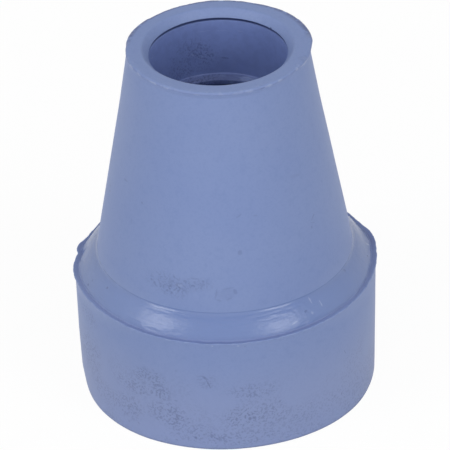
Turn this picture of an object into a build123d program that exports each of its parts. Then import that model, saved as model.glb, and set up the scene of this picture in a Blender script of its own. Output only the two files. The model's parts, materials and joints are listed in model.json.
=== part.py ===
from build123d import *
from math import radians, tan
import os

# Rubber tip for the foot of a walking cane, moulded in one piece.
# Lengths are in millimetres and angles in degrees. The origin is the centre of the sole,
# on the floor, and +Z runs up the cane. Everything is round about that axis.

# Cane shaft that is pressed into the socket, and the rubber around it at the rim
shaft_diameter = 19.0
rim_wall = 2.93
total_height = 52.7
sole_thickness = 16.5

# Foot, the wide part below the mould's parting line
foot_diameter = 42.1
foot_height = 18.0
foot_draft = 1.2
sole_edge_chamfer = 0.25

# Shoulder, the slope from the foot in to the cone, and the small hollow where they meet
shoulder_height = 2.8
shoulder_setback = 3.15
cone_foot_fillet = 0.8

# Fin of rubber that the mould's parting line left around the top of the foot
flash_reach = 0.3
flash_thickness = 0.45

# Lip left around the outer edge of the rim
rim_lip_reach = 0.15
rim_lip_height = 0.6

# Mouth of the socket: a bevel that leads the shaft in, then a hooked edge that grips it
bevel_width = 0.8
bevel_depth = 1.27
mouth_land = 0.2
undercut_depth = 0.4
undercut_height = 1.9
floor_chamfer = 1.2

# Grip rings inside the socket, each a short ramp that ends in a narrow crest
first_ring_depth = 9.7
ring_pitch = 8.5
ring_rise = 1.0
ring_ramp = 0.6
ring_crest = 0.7
ring_back = 0.5

# Tread under the sole, round grooves counted in from its edge
tread_depth = 1.5
tread_groove_width = 2.0
tread_groove_angle = 78.0
tread_pitch = 5.2
tread_edge_land = 2.2
tread_inner_radius = 5.5

# How far an added ring runs into the wall that carries it
root_depth = 0.5

bore_radius = shaft_diameter / 2
rim_radius = bore_radius + rim_wall
foot_radius = foot_diameter / 2
sole_radius = foot_radius - foot_height * tan(radians(foot_draft))
cone_foot_radius = foot_radius - shoulder_setback
shoulder_top = foot_height + shoulder_height
bevel_radius = bore_radius + bevel_width

mouth_height = total_height - bevel_depth
undercut_top = mouth_height - mouth_land
undercut_bottom = undercut_top - undercut_height

ring_width = ring_ramp + ring_crest + ring_back
first_ring_top = total_height - first_ring_depth
ring_room = first_ring_top - ring_width - sole_thickness - floor_chamfer
ring_count = int(ring_room // ring_pitch) + 1
ring_tops = [first_ring_top - i * ring_pitch for i in range(ring_count)]

outer_groove = sole_radius - tread_edge_land - tread_groove_width / 2
groove_count = int((outer_groove - tread_inner_radius) // tread_pitch) + 1
groove_radii = [outer_groove - i * tread_pitch for i in range(groove_count)]

with BuildPart() as rubber_tip:
    # Foot, shoulder and cone, as one turned outline
    with BuildSketch(Plane.XZ) as body_section:
        with BuildLine():
            Polyline(
                (0, 0),
                (sole_radius, 0),
                (foot_radius, foot_height),
                (cone_foot_radius, shoulder_top),
                (rim_radius, total_height),
                (0, total_height),
                close=True,
            )
        make_face()
        cone_foot = (cone_foot_radius, shoulder_top)
        fillet(body_section.vertices().sort_by_distance(cone_foot)[0], cone_foot_fillet)
        sole_edge = (sole_radius, 0)
        chamfer(body_section.vertices().sort_by_distance(sole_edge)[0], sole_edge_chamfer)
    revolve(axis=Axis.Z)

    # Fin of flash where the two halves of the mould met
    with BuildSketch(Plane.XZ):
        with BuildLine():
            Polyline(
                (foot_radius - root_depth, foot_height),
                (foot_radius + flash_reach, foot_height),
                (foot_radius - root_depth, foot_height - flash_thickness),
                close=True,
            )
        make_face()
    revolve(axis=Axis.Z)

    # Lip around the rim, level with its flat top
    with BuildSketch(Plane.XZ):
        with BuildLine():
            Polyline(
                (rim_radius - root_depth, total_height),
                (rim_radius + rim_lip_reach, total_height),
                (rim_radius - root_depth, total_height - rim_lip_height),
                close=True,
            )
        make_face()
    revolve(axis=Axis.Z)

    # Blind socket for the shaft, with its bevelled mouth and the hooked edge below it
    with BuildSketch(Plane.XZ) as socket_section:
        with BuildLine():
            Polyline(
                (0, sole_thickness),
                (bore_radius, sole_thickness),
                (bore_radius, undercut_bottom),
                (bore_radius + undercut_depth, undercut_top),
                (bore_radius, undercut_top),
                (bore_radius, mouth_height),
                (bevel_radius, total_height),
                (0, total_height),
                close=True,
            )
        make_face()
        floor_corner = (bore_radius, sole_thickness)
        chamfer(socket_section.vertices().sort_by_distance(floor_corner)[0], floor_chamfer)
    revolve(axis=Axis.Z, mode=Mode.SUBTRACT)

    # Grip rings on the wall of the socket
    with BuildSketch(Plane.XZ):
        with Locations(*[(bore_radius, top) for top in ring_tops]):
            Polygon(
                (root_depth, 0),
                (0, 0),
                (-ring_rise, -ring_ramp),
                (-ring_rise, -ring_ramp - ring_crest),
                (0, -ring_width),
                (root_depth, -ring_width),
                align=None,
            )
    revolve(axis=Axis.Z)

    # Tread grooves cut up into the sole
    with BuildSketch(Plane.XZ):
        with Locations(*[(radius, 0) for radius in groove_radii]):
            Trapezoid(
                tread_groove_width,
                tread_depth,
                tread_groove_angle,
                align=(Align.CENTER, Align.MIN),
            )
    revolve(axis=Axis.Z, mode=Mode.SUBTRACT)

rubber_tip.part.label = "rubber_tip"

os.makedirs("parts", exist_ok=True)
export_step(rubber_tip.part, "parts/rubber_tip.step")
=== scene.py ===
"""Looks of a walking cane's rubber tip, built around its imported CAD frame.

Lengths in the classes are in millimetres, as a mould maker writes them, and MM turns them to
Blender's metres. Azimuths are in degrees about the upright axis: 0 faces the camera, along -Y,
and they grow towards +X. Heights start at the sole.
"""

import json
import logging
import math
from dataclasses import astuple, dataclass, field, replace
from enum import Enum
from functools import partial

import bmesh
import bpy
from mathutils import Matrix, Vector

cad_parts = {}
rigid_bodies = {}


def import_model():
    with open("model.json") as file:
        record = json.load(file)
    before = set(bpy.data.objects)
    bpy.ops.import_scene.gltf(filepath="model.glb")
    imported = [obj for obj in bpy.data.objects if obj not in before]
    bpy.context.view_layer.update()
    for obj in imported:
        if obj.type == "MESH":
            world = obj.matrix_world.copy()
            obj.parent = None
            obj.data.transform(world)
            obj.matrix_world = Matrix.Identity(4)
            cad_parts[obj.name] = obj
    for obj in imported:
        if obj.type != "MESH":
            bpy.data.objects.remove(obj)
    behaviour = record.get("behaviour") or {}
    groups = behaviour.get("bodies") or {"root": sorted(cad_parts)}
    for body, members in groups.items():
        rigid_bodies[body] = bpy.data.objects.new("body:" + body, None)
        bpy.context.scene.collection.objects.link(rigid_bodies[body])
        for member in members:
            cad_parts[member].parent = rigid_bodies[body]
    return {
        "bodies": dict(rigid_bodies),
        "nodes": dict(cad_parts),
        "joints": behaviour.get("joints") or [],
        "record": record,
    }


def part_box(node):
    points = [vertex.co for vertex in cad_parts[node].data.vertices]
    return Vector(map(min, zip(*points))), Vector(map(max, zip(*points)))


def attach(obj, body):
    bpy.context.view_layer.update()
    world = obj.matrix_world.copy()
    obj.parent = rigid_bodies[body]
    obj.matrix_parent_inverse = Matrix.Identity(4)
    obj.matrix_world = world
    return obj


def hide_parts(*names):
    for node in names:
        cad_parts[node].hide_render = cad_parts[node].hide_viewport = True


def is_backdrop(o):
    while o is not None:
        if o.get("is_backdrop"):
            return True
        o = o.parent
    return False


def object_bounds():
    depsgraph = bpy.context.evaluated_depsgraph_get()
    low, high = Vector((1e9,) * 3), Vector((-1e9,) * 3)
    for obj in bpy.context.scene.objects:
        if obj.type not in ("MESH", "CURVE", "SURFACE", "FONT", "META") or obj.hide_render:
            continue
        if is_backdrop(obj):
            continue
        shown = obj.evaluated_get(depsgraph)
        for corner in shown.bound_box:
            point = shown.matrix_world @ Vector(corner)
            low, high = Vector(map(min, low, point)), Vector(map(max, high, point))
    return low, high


LOG = logging.getLogger("cane_tip")

MM = 0.001
FULL_TURN = 360.0
BODY = "root"
CAD_NODE = "rubber_tip"
SOCKET_MOUNT = "shaft_socket"

# How far the CAD node's flash stands out from its foot, and how thick its wall is at the rim
CAD_FLASH_REACH = 0.3
RIM_WALL = 2.93

# Middle of what a noise gives
NOISE_MIDDLE = 0.5


class Trait(Enum):
    """What a point of the turned section carries, for the nodes and for the rubber's finish."""

    FLASH = "flash"
    TRIM = "trim"
    LIP = "lip"
    SOLE = "sole"
    SEAM = "seam"
    GLOSS = "gloss"
    FRAY = "fray"


def linear(hex_colour: str) -> tuple[float, float, float, float]:
    """Turns an sRGB hex colour to linear.

    Args:
        hex_colour: six hex digits, such as "8191BC".

    Returns:
        Red, green and blue in linear light, and an alpha of 1.
    """
    shares = [int(hex_colour[i : i + 2], 16) / 255 for i in (0, 2, 4)]
    lit = [s / 12.92 if s <= 0.04045 else ((s + 0.055) / 1.055) ** 2.4 for s in shares]
    return (lit[0], lit[1], lit[2], 1.0)


def pattern_scale(size: float) -> float:
    """Gives the texture scale at which a pattern on Object coordinates repeats every size mm."""
    return 1.0 / (size * MM)


def add_node(
    tree: bpy.types.NodeTree,
    kind: str,
    feeds: dict[str | int, object] | None = None,
    **settings: object,
) -> bpy.types.Node:
    """Adds a node with its settings and what feeds it.

    Args:
        tree: node tree that gets the node.
        kind: Blender's name of the node's type.
        feeds: value, socket or node for each input, by the input's name or number. A node feeds
            its first output in use.
        settings: the node's own properties, set before its inputs.

    Returns:
        The new node.
    """
    node = tree.nodes.new(kind)
    for name, value in settings.items():
        setattr(node, name, value)
    for key, feed in (feeds or {}).items():
        if isinstance(key, str):
            socket = next(s for s in node.inputs if s.enabled and s.name == key)
        else:
            socket = node.inputs[key]
        if isinstance(feed, bpy.types.Node):
            feed = next(s for s in feed.outputs if s.enabled)
        if isinstance(feed, bpy.types.NodeSocket):
            tree.links.new(feed, socket)
        else:
            socket.default_value = feed
    return node


@dataclass(frozen=True)
class Corner:
    """A point of the turned section, with what it carries.

    Args:
        radius: distance from the upright axis.
        height: height above the sole.
        rounding: radius of the arc that softens it.
        flash: share of the mould's flash that pushes it out.
        trim: share of the knife's cut that takes it in, where the flash was cut away.
        lip: share of the rim's lip that pushes it out.
        sole: share of the worn sole's unevenness that moves it.
        seam: how torn and dirty the rubber is there, from 0 to 1. Its dark colour is painted
        shade where it lies in the groove behind the flash's fin.
        gloss: how smooth the mould left the rubber there, from 0 to 1. Above 1 it is smoother yet,
            without ripples.
        fray: how frayed the rubber is there, from 0 to 1. It places painted highlights along the
        frayed edges and painted shade at the back of the rim's lip.
    """

    radius: float
    height: float
    rounding: float = 0.0
    flash: float = 0.0
    trim: float = 0.0
    lip: float = 0.0
    sole: float = 0.0
    seam: float = 0.0
    gloss: float = 0.0
    fray: float = 0.0

    def towards(self, other: "Corner", share: float) -> "Corner":
        """Gives the point that lies the given share of the way to the other."""
        pairs = zip(astuple(self), astuple(other))
        return Corner(*[a + (b - a) * share for a, b in pairs])

    def moved(self, along: Vector, length: float) -> "Corner":
        """Gives the same point moved by a length along a direction in the section's plane."""
        traits = astuple(self)[2:]
        return Corner(self.radius + along.x * length, self.height + along.y * length, *traits)

    def to(self, other: "Corner") -> Vector:
        """Gives the vector to the other, in the section's plane."""
        return Vector((other.radius - self.radius, other.height - self.height))


@dataclass(frozen=True)
class Outline:
    """The section as one chain of points, from the sole's centre round to the socket's floor.

    Args:
        corners: the section's corners, in order.
        longest_step: longest run between two points.
        bow: furthest that a straight run may cut inside a softened corner.
        arc_share: largest share of a neighbouring run that an arc may take.
    """

    corners: list[Corner]
    longest_step: float = 2.2
    bow: float = 0.004
    arc_share: float = 0.45

    def arc(self, index: int) -> list[Corner]:
        """Softens one corner.

        Args:
            index: the corner's place in the chain.

        Returns:
            The points of its arc, or the corner alone where it stays sharp.
        """
        corner = self.corners[index]
        if not corner.rounding or index in (0, len(self.corners) - 1):
            return [corner]
        back, on = corner.to(self.corners[index - 1]), corner.to(self.corners[index + 1])
        half = back.angle(on) / 2
        room = self.arc_share * min(back.length, on.length)
        reach = min(corner.rounding / math.tan(half), room)
        depth = reach / math.cos(half)
        centre = corner.moved((back.normalized() + on.normalized()).normalized(), depth)
        first = centre.to(corner.moved(back.normalized(), reach))
        last = centre.to(corner.moved(on.normalized(), reach))
        turn = math.pi - 2 * half
        bend = reach * math.tan(half)
        step_turn = 2 * math.acos(1 - min(self.bow / bend, 0.5))
        count = max(1, math.ceil(turn / step_turn))
        points = []
        for step in range(count + 1):
            angle = turn * step / count
            spoke = (first * math.sin(turn - angle) + last * math.sin(angle)) / math.sin(turn)
            points.append(centre.moved(spoke, 1.0))
        return points

    def points(self) -> list[Corner]:
        """Softens the chain's corners and divides its long runs.

        Returns:
            The chain's points, in order.
        """
        chain = self.arc(0)
        for index in range(1, len(self.corners)):
            arc = self.arc(index)
            start, end = chain[-1], arc[0]
            pieces = max(1, math.ceil(start.to(end).length / self.longest_step))
            chain += [start.towards(end, k / pieces) for k in range(1, pieces)]
            chain += arc
        return chain


@dataclass(frozen=True)
class Reach:
    """How far an edge stands out from its nominal radius at one azimuth."""

    azimuth: float
    length: float


@dataclass(frozen=True)
class Tread:
    """Sole with round grooves, counted in from its edge."""

    sole_radius: float
    depth: float = 1.5
    groove_width: float = 2.0
    groove_angle: float = 78.0
    pitch: float = 5.2
    edge_land: float = 2.2
    inner_radius: float = 5.5
    rounding: float = 0.15

    def corners(self) -> list[Corner]:
        """Lays out the sole.

        Returns:
            Its corners, from its centre out to its last groove.
        """
        half = self.groove_width / 2
        slope = self.depth / math.tan(math.radians(self.groove_angle))
        outer = self.sole_radius - self.edge_land - half
        count = int((outer - self.inner_radius) // self.pitch) + 1
        corners = [Corner(0.0, 0.0)]
        for place in reversed(range(count)):
            middle = outer - place * self.pitch
            corners += [
                Corner(middle - half, 0.0, self.rounding),
                Corner(middle - half + slope, self.depth, self.rounding),
                Corner(middle + half - slope, self.depth, self.rounding),
                Corner(middle + half, 0.0, self.rounding),
            ]
        return corners


@dataclass(frozen=True)
class Foot:
    """Wide foot below the mould's parting line, with the flash left along its top edge."""

    radius: float
    height: float = 18.0
    draft: float = 1.2
    sole_rounding: float = 0.3
    worn_height: float = 2.5
    worn_rounding: float = 3.0
    bulge_height: float = 8.5
    bulge_rounding: float = 20.0
    trim_height: float = 1.3

    # The fin of flash: its root, its rounded outer edge, and the shallow groove behind it
    flash_thickness: float = 0.3
    fin_rise: float = 0.14
    fin_overhang: float = 0.02
    fin_width: float = 0.2
    fin_droop: float = 0.02
    fin_rounding: float = 0.05
    ledge_width: float = 0.75
    groove_depth: float = 0.09
    groove_run: float = 0.1
    groove_rounding: float = 0.04
    sole_keys: tuple[Reach, ...] = (
        Reach(-180, 0.0), Reach(-108, -0.1), Reach(-95, -0.22), Reach(-82, -0.22),
        Reach(-74, -0.14), Reach(-66, -0.01), Reach(-56, 0.1), Reach(-40, 0.18), Reach(-26, 0.09),
        Reach(-12, 0.01), Reach(12, -0.08), Reach(30, 0.03), Reach(55, 0.18), Reach(75, 0.02),
        Reach(90, -0.02), Reach(110, -0.02), Reach(180, 0.0),
    )
    flash_keys: tuple[Reach, ...] = (
        Reach(-180, 0.0), Reach(-135, -0.15), Reach(-121, -0.34), Reach(-115, -0.44),
        Reach(-109, -0.22), Reach(-106, 0.02), Reach(-103, 0.22), Reach(-100, 0.12),
        Reach(-98.6, -0.28), Reach(-97, -0.12), Reach(-93, 0.08), Reach(-89, 0.26),
        Reach(-84, 0.25), Reach(-78, 0.1), Reach(-66, 0.0), Reach(0, 0.0), Reach(70, 0.0),
        Reach(86, 0.1), Reach(97, 0.35), Reach(102, 0.45), Reach(108, 0.28), Reach(114, -0.04),
        Reach(121, -0.15), Reach(150, 0.0), Reach(180, 0.0),
    )

    @property
    def sole_radius(self) -> float:
        """Radius of the sole, in from the foot's top by its draft."""
        return self.radius - self.height * math.tan(math.radians(self.draft))

    def wall_radius(self, height: float) -> float:
        """Radius of the foot's wall at a height."""
        return self.sole_radius + height * math.tan(math.radians(self.draft))

    def corners(self) -> list[Corner]:
        """Lays out the foot.

        Returns:
            Its corners, from the sole's edge up to the groove behind the fin.
        """
        root = self.height - self.flash_thickness
        cut = self.height - self.trim_height
        edge, top = self.radius, self.height
        ledge = edge - self.ledge_width
        worn, bulge = self.worn_height, self.bulge_height
        crisp, soft = self.fin_rounding, self.groove_rounding
        fin = {"flash": 1.0, "trim": 1.0}
        inner, low = edge - self.fin_width, top - self.fin_droop
        bottom = top - self.groove_depth
        return [
            Corner(self.sole_radius, 0.0, self.sole_rounding, sole=1.0),
            Corner(self.wall_radius(worn), worn, self.worn_rounding, sole=-0.1),
            Corner(self.wall_radius(bulge), bulge, self.bulge_rounding, sole=-0.45),
            Corner(self.wall_radius(cut), cut),
            Corner(self.wall_radius(root), root, crisp, flash=0.2, trim=0.8),
            Corner(edge + self.fin_overhang, root + self.fin_rise, crisp, fray=0.6, **fin),
            Corner(edge, top, crisp, seam=0.15, fray=1.0, **fin),
            # Behind the fin the seam's dark colour is painted shade in the groove as well as torn
            # rubber
            Corner(inner, low, soft, flash=0.95, trim=0.95, seam=0.7),
            Corner(ledge + self.groove_run, bottom, soft, flash=0.9, trim=0.8, seam=1.0),
        ]


@dataclass(frozen=True)
class Shoulder:
    """Slope from the foot in to the cone, and the small hollow where it meets the cone."""

    foot_radius: float
    foot_height: float
    cone_lean: float = 0.17
    rise: float = 2.8
    setback: float = 3.15
    start_inset: float = 0.75
    start_rise: float = 0.14
    start_rounding: float = 0.05
    start_trim: float = 0.7
    trim_fade: float = 3.0

    # The narrow bright facet in the hollow where the shoulder meets the cone
    facet_down: float = 0.17
    facet_up: float = 0.1
    facet_rounding: float = 0.3
    facet_gloss: float = 1.5
    bulge: float = 0.13
    facets: int = 7

    @property
    def top_radius(self) -> float:
        """Radius where the shoulder meets the cone."""
        return self.foot_radius - self.setback

    @property
    def top_height(self) -> float:
        """Height where the shoulder meets the cone."""
        return self.foot_height + self.rise

    def corners(self) -> list[Corner]:
        """Lays out the shoulder.

        Returns:
            Its corners, from the step above the parting line to the cone.
        """
        start = Corner(
            self.foot_radius - self.start_inset,
            self.foot_height + self.start_rise,
            self.start_rounding,
            flash=0.8,
            trim=self.start_trim,
            seam=0.3,
            gloss=1.0,
        )
        end = Corner(self.top_radius, self.top_height, gloss=1.0)
        slope = start.to(end)
        outward = Vector((slope.y, -slope.x)).normalized()
        corners = [start]
        for facet in range(1, self.facets):
            share = facet / self.facets
            swell = 4 * self.bulge * share * (1 - share)
            trim = self.start_trim * max(0.0, 1 - self.trim_fade * share)
            plain = {"rounding": 0.0, "seam": 0.0, "flash": 0.0, "trim": trim, "gloss": 1.0}
            corners.append(replace(start.towards(end, share).moved(outward, swell), **plain))
        down = end.to(corners[-1]).normalized()
        up = Vector((-self.cone_lean, 1.0)).normalized()
        bright = replace(end, rounding=self.facet_rounding, gloss=self.facet_gloss)
        return corners + [bright.moved(down, self.facet_down), bright.moved(up, self.facet_up)]


@dataclass(frozen=True)
class Cone:
    """Wall between the shoulder and the rim, drawn in a little as the rubber shrank."""

    foot_radius: float
    foot_height: float
    rim_radius: float
    rim_height: float
    waist: float = 0.18
    waist_height: float = 43.5
    waist_rounding: float = 120.0
    neck: float = 0.1
    polish_fade: float = 0.28

    @property
    def lean(self) -> float:
        """How much wider the cone is for each millimetre down."""
        return (self.foot_radius - self.rim_radius) / (self.rim_height - self.foot_height)

    def radius_at(self, height: float) -> float:
        """Radius of the straight cone at a height."""
        return self.rim_radius + (self.rim_height - height) * self.lean

    def corners(self) -> list[Corner]:
        """Lays out the cone.

        Returns:
            Its corners, just above the shoulder's polish and at its waist.
        """
        dull = self.foot_height + self.polish_fade
        return [
            Corner(self.radius_at(dull), dull),
            Corner(
                self.radius_at(self.waist_height) - self.waist,
                self.waist_height,
                self.waist_rounding,
            ),
        ]


@dataclass(frozen=True)
class Rim:
    """Top of the cone: a thin lip around its outer edge, a flat land, and the bevelled mouth."""

    radius: float
    height: float
    bore_radius: float
    cone_lean: float
    neck: float
    lip_root: float = 0.9
    root_rounding: float = 0.4
    lip_drop: float = 0.42
    lip_waist: float = 0.02
    lip_height: float = 0.2
    lip_rounding: float = 0.1
    edge_rounding: float = 0.15
    fray_insets: tuple[float, float, float] = (0.2, 0.4, 0.6)
    bevel_width: float = 0.9
    bevel_depth: float = 1.08
    bevel_rounding: float = 0.5
    mouth_rounding: float = 0.05
    lip_keys: tuple[Reach, ...] = (
        Reach(-180, 0.16), Reach(-174, 0.18), Reach(-166, 0.0), Reach(-135, -0.02),
        Reach(-128, 0.14), Reach(-108, 0.25), Reach(-93, 0.12), Reach(-78, 0.18), Reach(-60, 0.14),
        Reach(-44, 0.12), Reach(-13, 0.26), Reach(2, 0.28), Reach(19, 0.2), Reach(33, 0.17),
        Reach(57, 0.05), Reach(68, 0.2), Reach(85, 0.3), Reach(100, 0.55), Reach(130, 0.58),
        Reach(146, 0.36), Reach(162, 0.16), Reach(180, 0.16),
    )

    @property
    def mouth_height(self) -> float:
        """Height at which the bevel ends and the bore starts."""
        return self.height - self.bevel_depth

    def corners(self) -> list[Corner]:
        """Lays out the rim.

        Returns:
            Its corners, from the top of the cone in to the bore.
        """
        below = self.height - self.lip_root
        tip = self.height - self.lip_drop
        root = self.radius + self.lip_root * self.cone_lean - self.neck
        side = self.height - self.lip_height
        outer, middle, inner = [self.radius - inset for inset in self.fray_insets]
        return [
            Corner(root, below, self.root_rounding),
            Corner(self.radius - self.lip_waist, tip, self.edge_rounding, lip=0.85),
            Corner(self.radius, side, self.lip_rounding, lip=1.0, seam=0.5, fray=1.0),
            Corner(outer, self.height, self.edge_rounding, lip=0.85, fray=1.0),
            Corner(middle, self.height, lip=0.7, fray=0.8),
            Corner(inner, self.height, lip=0.3),
            Corner(self.bore_radius + self.bevel_width, self.height, self.bevel_rounding),
            Corner(self.bore_radius, self.mouth_height, self.mouth_rounding),
        ]


@dataclass(frozen=True)
class Socket:
    """Blind hole for the shaft: a hooked edge under the mouth, then rings that grip the shaft."""

    radius: float
    mouth_height: float
    rim_height: float
    floor_height: float = 16.5
    mouth_land: float = 0.08
    hook_rounding: float = 0.05
    groove_width: float = 0.42
    groove_depth: float = 0.65
    groove_rounding: float = 0.1
    recess_height: float = 2.0
    recess_depth: float = 0.03
    ridge_height: float = 0.35
    floor_chamfer: float = 1.2
    floor_rounding: float = 0.3
    first_ring_depth: float = 9.9
    ring_pitch: float = 8.5
    ring_rise: float = 1.0
    ring_ramp: float = 0.6
    ring_crest: float = 0.7
    ring_back: float = 0.5
    ring_rounding: float = 0.12
    turning_marks: int = 3
    mark_depth: float = 0.06
    mark_rounding: float = 0.03

    @property
    def ring_width(self) -> float:
        """Height of a grip ring where it leaves the wall."""
        return self.ring_ramp + self.ring_crest + self.ring_back

    def ring(self, top: float) -> list[Corner]:
        """Gives a grip ring's corners, from its top down, with the fine turning marks on its ramp.

        Args:
            top: height at which the ring leaves the wall.

        Returns:
            The corners, in the chain's order.
        """
        start = Corner(self.radius, top, self.ring_rounding)
        crest = Corner(self.radius - self.ring_rise, top - self.ring_ramp, self.ring_rounding)
        corners = [start]
        steps = 2 * self.turning_marks
        for step in range(1, steps):
            lift = self.mark_depth * (-1) ** step
            point = start.towards(crest, step / steps)
            corners.append(Corner(point.radius, point.height + lift, self.mark_rounding))
        low = crest.height - self.ring_crest
        corners += [
            crest,
            Corner(crest.radius, low, self.ring_rounding),
            Corner(self.radius, top - self.ring_width, self.ring_rounding),
        ]
        return corners

    def corners(self) -> list[Corner]:
        """Lays out the socket.

        Returns:
            Its corners, from under the mouth down to the floor's centre.
        """
        hook = self.mouth_height - self.mouth_land
        groove = hook - self.groove_width
        ridge = hook - self.recess_height
        bottom, recess = self.radius + self.groove_depth, self.radius + self.recess_depth
        corners = [
            Corner(self.radius, hook, self.hook_rounding),
            Corner(bottom, hook, self.groove_rounding),
            Corner(bottom, groove, self.groove_rounding),
            Corner(recess, groove, self.hook_rounding),
            Corner(recess, ridge),
            Corner(self.radius, ridge - self.ridge_height),
        ]
        top = self.rim_height - self.first_ring_depth
        lowest = self.floor_height + self.floor_chamfer + self.ring_width
        while top >= lowest:
            corners += self.ring(top)
            top -= self.ring_pitch
        return corners + [
            Corner(self.radius, self.floor_height + self.floor_chamfer, self.floor_rounding),
            Corner(self.radius - self.floor_chamfer, self.floor_height, self.floor_rounding),
            Corner(0.0, self.floor_height),
        ]


@dataclass(frozen=True)
class Turning:
    """Geometry Nodes that turn a section about the upright axis, with the ragged mould lines.

    Args:
        segments: faces around the tip.
        reach_range: furthest that an edge may stand out or in.
        flash_ragged: how far the torn flash wanders.
        lip_ragged: how far the rim's lip wanders.
        tear_size: distance between two tears of the flash.
        wave_height: how far the walls of the moulding wander.
        wave_size: distance between two waves of the walls.
        wave_radius: radius at which the waves are fully high. They fade to nothing at the axis.
        weld: points nearer than this are one.
        crease_angle: edges sharper than this stay sharp, in degrees.
        thin_flash: reach of the flash up to which its seam is faint.
        thick_flash: reach of the flash at which its seam is fully dark.
        thin_seam: share of its darkness that the faint seam keeps.
        seed: seed of all the wandering.
        seed_step: how far apart the seeds of two kinds of wandering lie.
    """

    segments: int = 400
    reach_range: float = 1.0
    flash_ragged: float = 0.3
    lip_ragged: float = 0.2
    tear_size: float = 1.1
    wave_height: float = 0.05
    wave_size: float = 9.0
    wave_radius: float = 10.0
    weld: float = 0.002
    crease_angle: float = 50.0
    thin_flash: float = 0.25
    thick_flash: float = 0.45
    thin_seam: float = 0.6
    seed: float = 7.0
    seed_step: float = 5.0

    def inputs(self, rubber: bpy.types.Material) -> dict[str, tuple[str, object]]:
        """Lists the tree's inputs after its section.

        Args:
            rubber: material for every face.

        Returns:
            Socket type and value of each input, by name.
        """
        number, length = "NodeSocketInt", "NodeSocketFloat"
        return {
            "Segments": (number, self.segments),
            "Flash Raggedness": (length, self.flash_ragged * MM),
            "Lip Raggedness": (length, self.lip_ragged * MM),
            "Tear Size": (length, self.tear_size * MM),
            "Wave Height": (length, self.wave_height * MM),
            "Wave Size": (length, self.wave_size * MM),
            "Weld Distance": (length, self.weld * MM),
            "Crease Angle": (length, math.radians(self.crease_angle)),
            "Seed": (length, self.seed),
            "Rubber": ("NodeSocketMaterial", rubber),
        }

    def reach_curve(
        self, tree: bpy.types.NodeTree, share: bpy.types.Node, keys: tuple[Reach, ...]
    ) -> bpy.types.Node:
        """Adds the curve of an edge's reach round the tip.

        Args:
            tree: tree that gets the nodes.
            share: place round the tip, from 0 at the back to 1 at the back again.
            keys: the edge's reach at some azimuths.

        Returns:
            Node that gives the reach in metres.
        """
        curve = add_node(tree, "ShaderNodeFloatCurve", {"Value": share})
        points = curve.mapping.curves[0].points
        while len(points) < len(keys):
            points.new(0.5, 0.5)
        for point, key in zip(points, sorted(keys, key=lambda k: k.azimuth)):
            place = key.azimuth / FULL_TURN + 0.5
            point.location = (place, 0.5 + key.length / (2 * self.reach_range))
        curve.mapping.update()
        span = self.reach_range * MM
        feeds = {"Value": curve, "To Min": -span, "To Max": span}
        return add_node(tree, "ShaderNodeMapRange", feeds)

    def tree(
        self,
        rubber: bpy.types.Material,
        reaches: dict[Trait, tuple[Reach, ...]],
    ) -> bpy.types.NodeTree:
        """Builds the node tree.

        Args:
            rubber: material for every face.
            reaches: reach of each uneven edge round the tip, by the trait that follows it.

        Returns:
            The tree, for a modifier on the section.
        """
        tree = bpy.data.node_groups.new("turn_section", "GeometryNodeTree")
        tree.is_modifier = True
        geometry = "NodeSocketGeometry"
        tree.interface.new_socket("Section", in_out="INPUT", socket_type=geometry)
        for name, (kind, _) in self.inputs(rubber).items():
            tree.interface.new_socket(name, in_out="INPUT", socket_type=kind)
        tree.interface.new_socket("Turned", in_out="OUTPUT", socket_type=geometry)
        add = partial(add_node, tree)
        given = add("NodeGroupInput").outputs

        # One column of the grid for each place round the tip, one row for each section point
        size = add("GeometryNodeAttributeDomainSize", {"Geometry": given["Section"]})
        rows = size.outputs["Point Count"]
        columns = add("ShaderNodeMath", {0: given["Segments"], 1: 1.0}, operation="ADD")
        grid = add("GeometryNodeMeshGrid", {"Vertices X": columns, "Vertices Y": rows})
        index = add("GeometryNodeInputIndex")
        row = add("ShaderNodeMath", {0: index, 1: rows}, operation="FLOORED_MODULO")
        passed = add("ShaderNodeMath", {0: index, 1: rows}, operation="DIVIDE")
        column = add("ShaderNodeMath", {0: passed}, operation="FLOOR")
        share = add("ShaderNodeMath", {0: column, 1: given["Segments"]}, operation="DIVIDE")
        feeds = {"Value": share, "To Min": -math.pi, "To Max": math.pi}
        azimuth = add("ShaderNodeMapRange", feeds)
        across = add("ShaderNodeMath", {0: azimuth}, operation="SINE")
        forth = add("ShaderNodeMath", {0: azimuth}, operation="COSINE")
        depth = add("ShaderNodeMath", {0: forth, 1: -1.0}, operation="MULTIPLY")

        # The section's point and what it carries, read by row
        feeds = {
            "Geometry": given["Section"],
            "Value": add("GeometryNodeInputPosition"),
            "Index": row,
        }
        here = add("GeometryNodeSampleIndex", feeds, data_type="FLOAT_VECTOR")
        parts = add("ShaderNodeSeparateXYZ", {"Vector": here}).outputs
        radius, height = parts["X"], parts["Z"]
        carried = {}
        for trait in Trait:
            named = add("GeometryNodeInputNamedAttribute", {"Name": trait.value})
            feeds = {"Geometry": given["Section"], "Value": named, "Index": row}
            carried[trait] = add("GeometryNodeSampleIndex", feeds)

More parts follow.
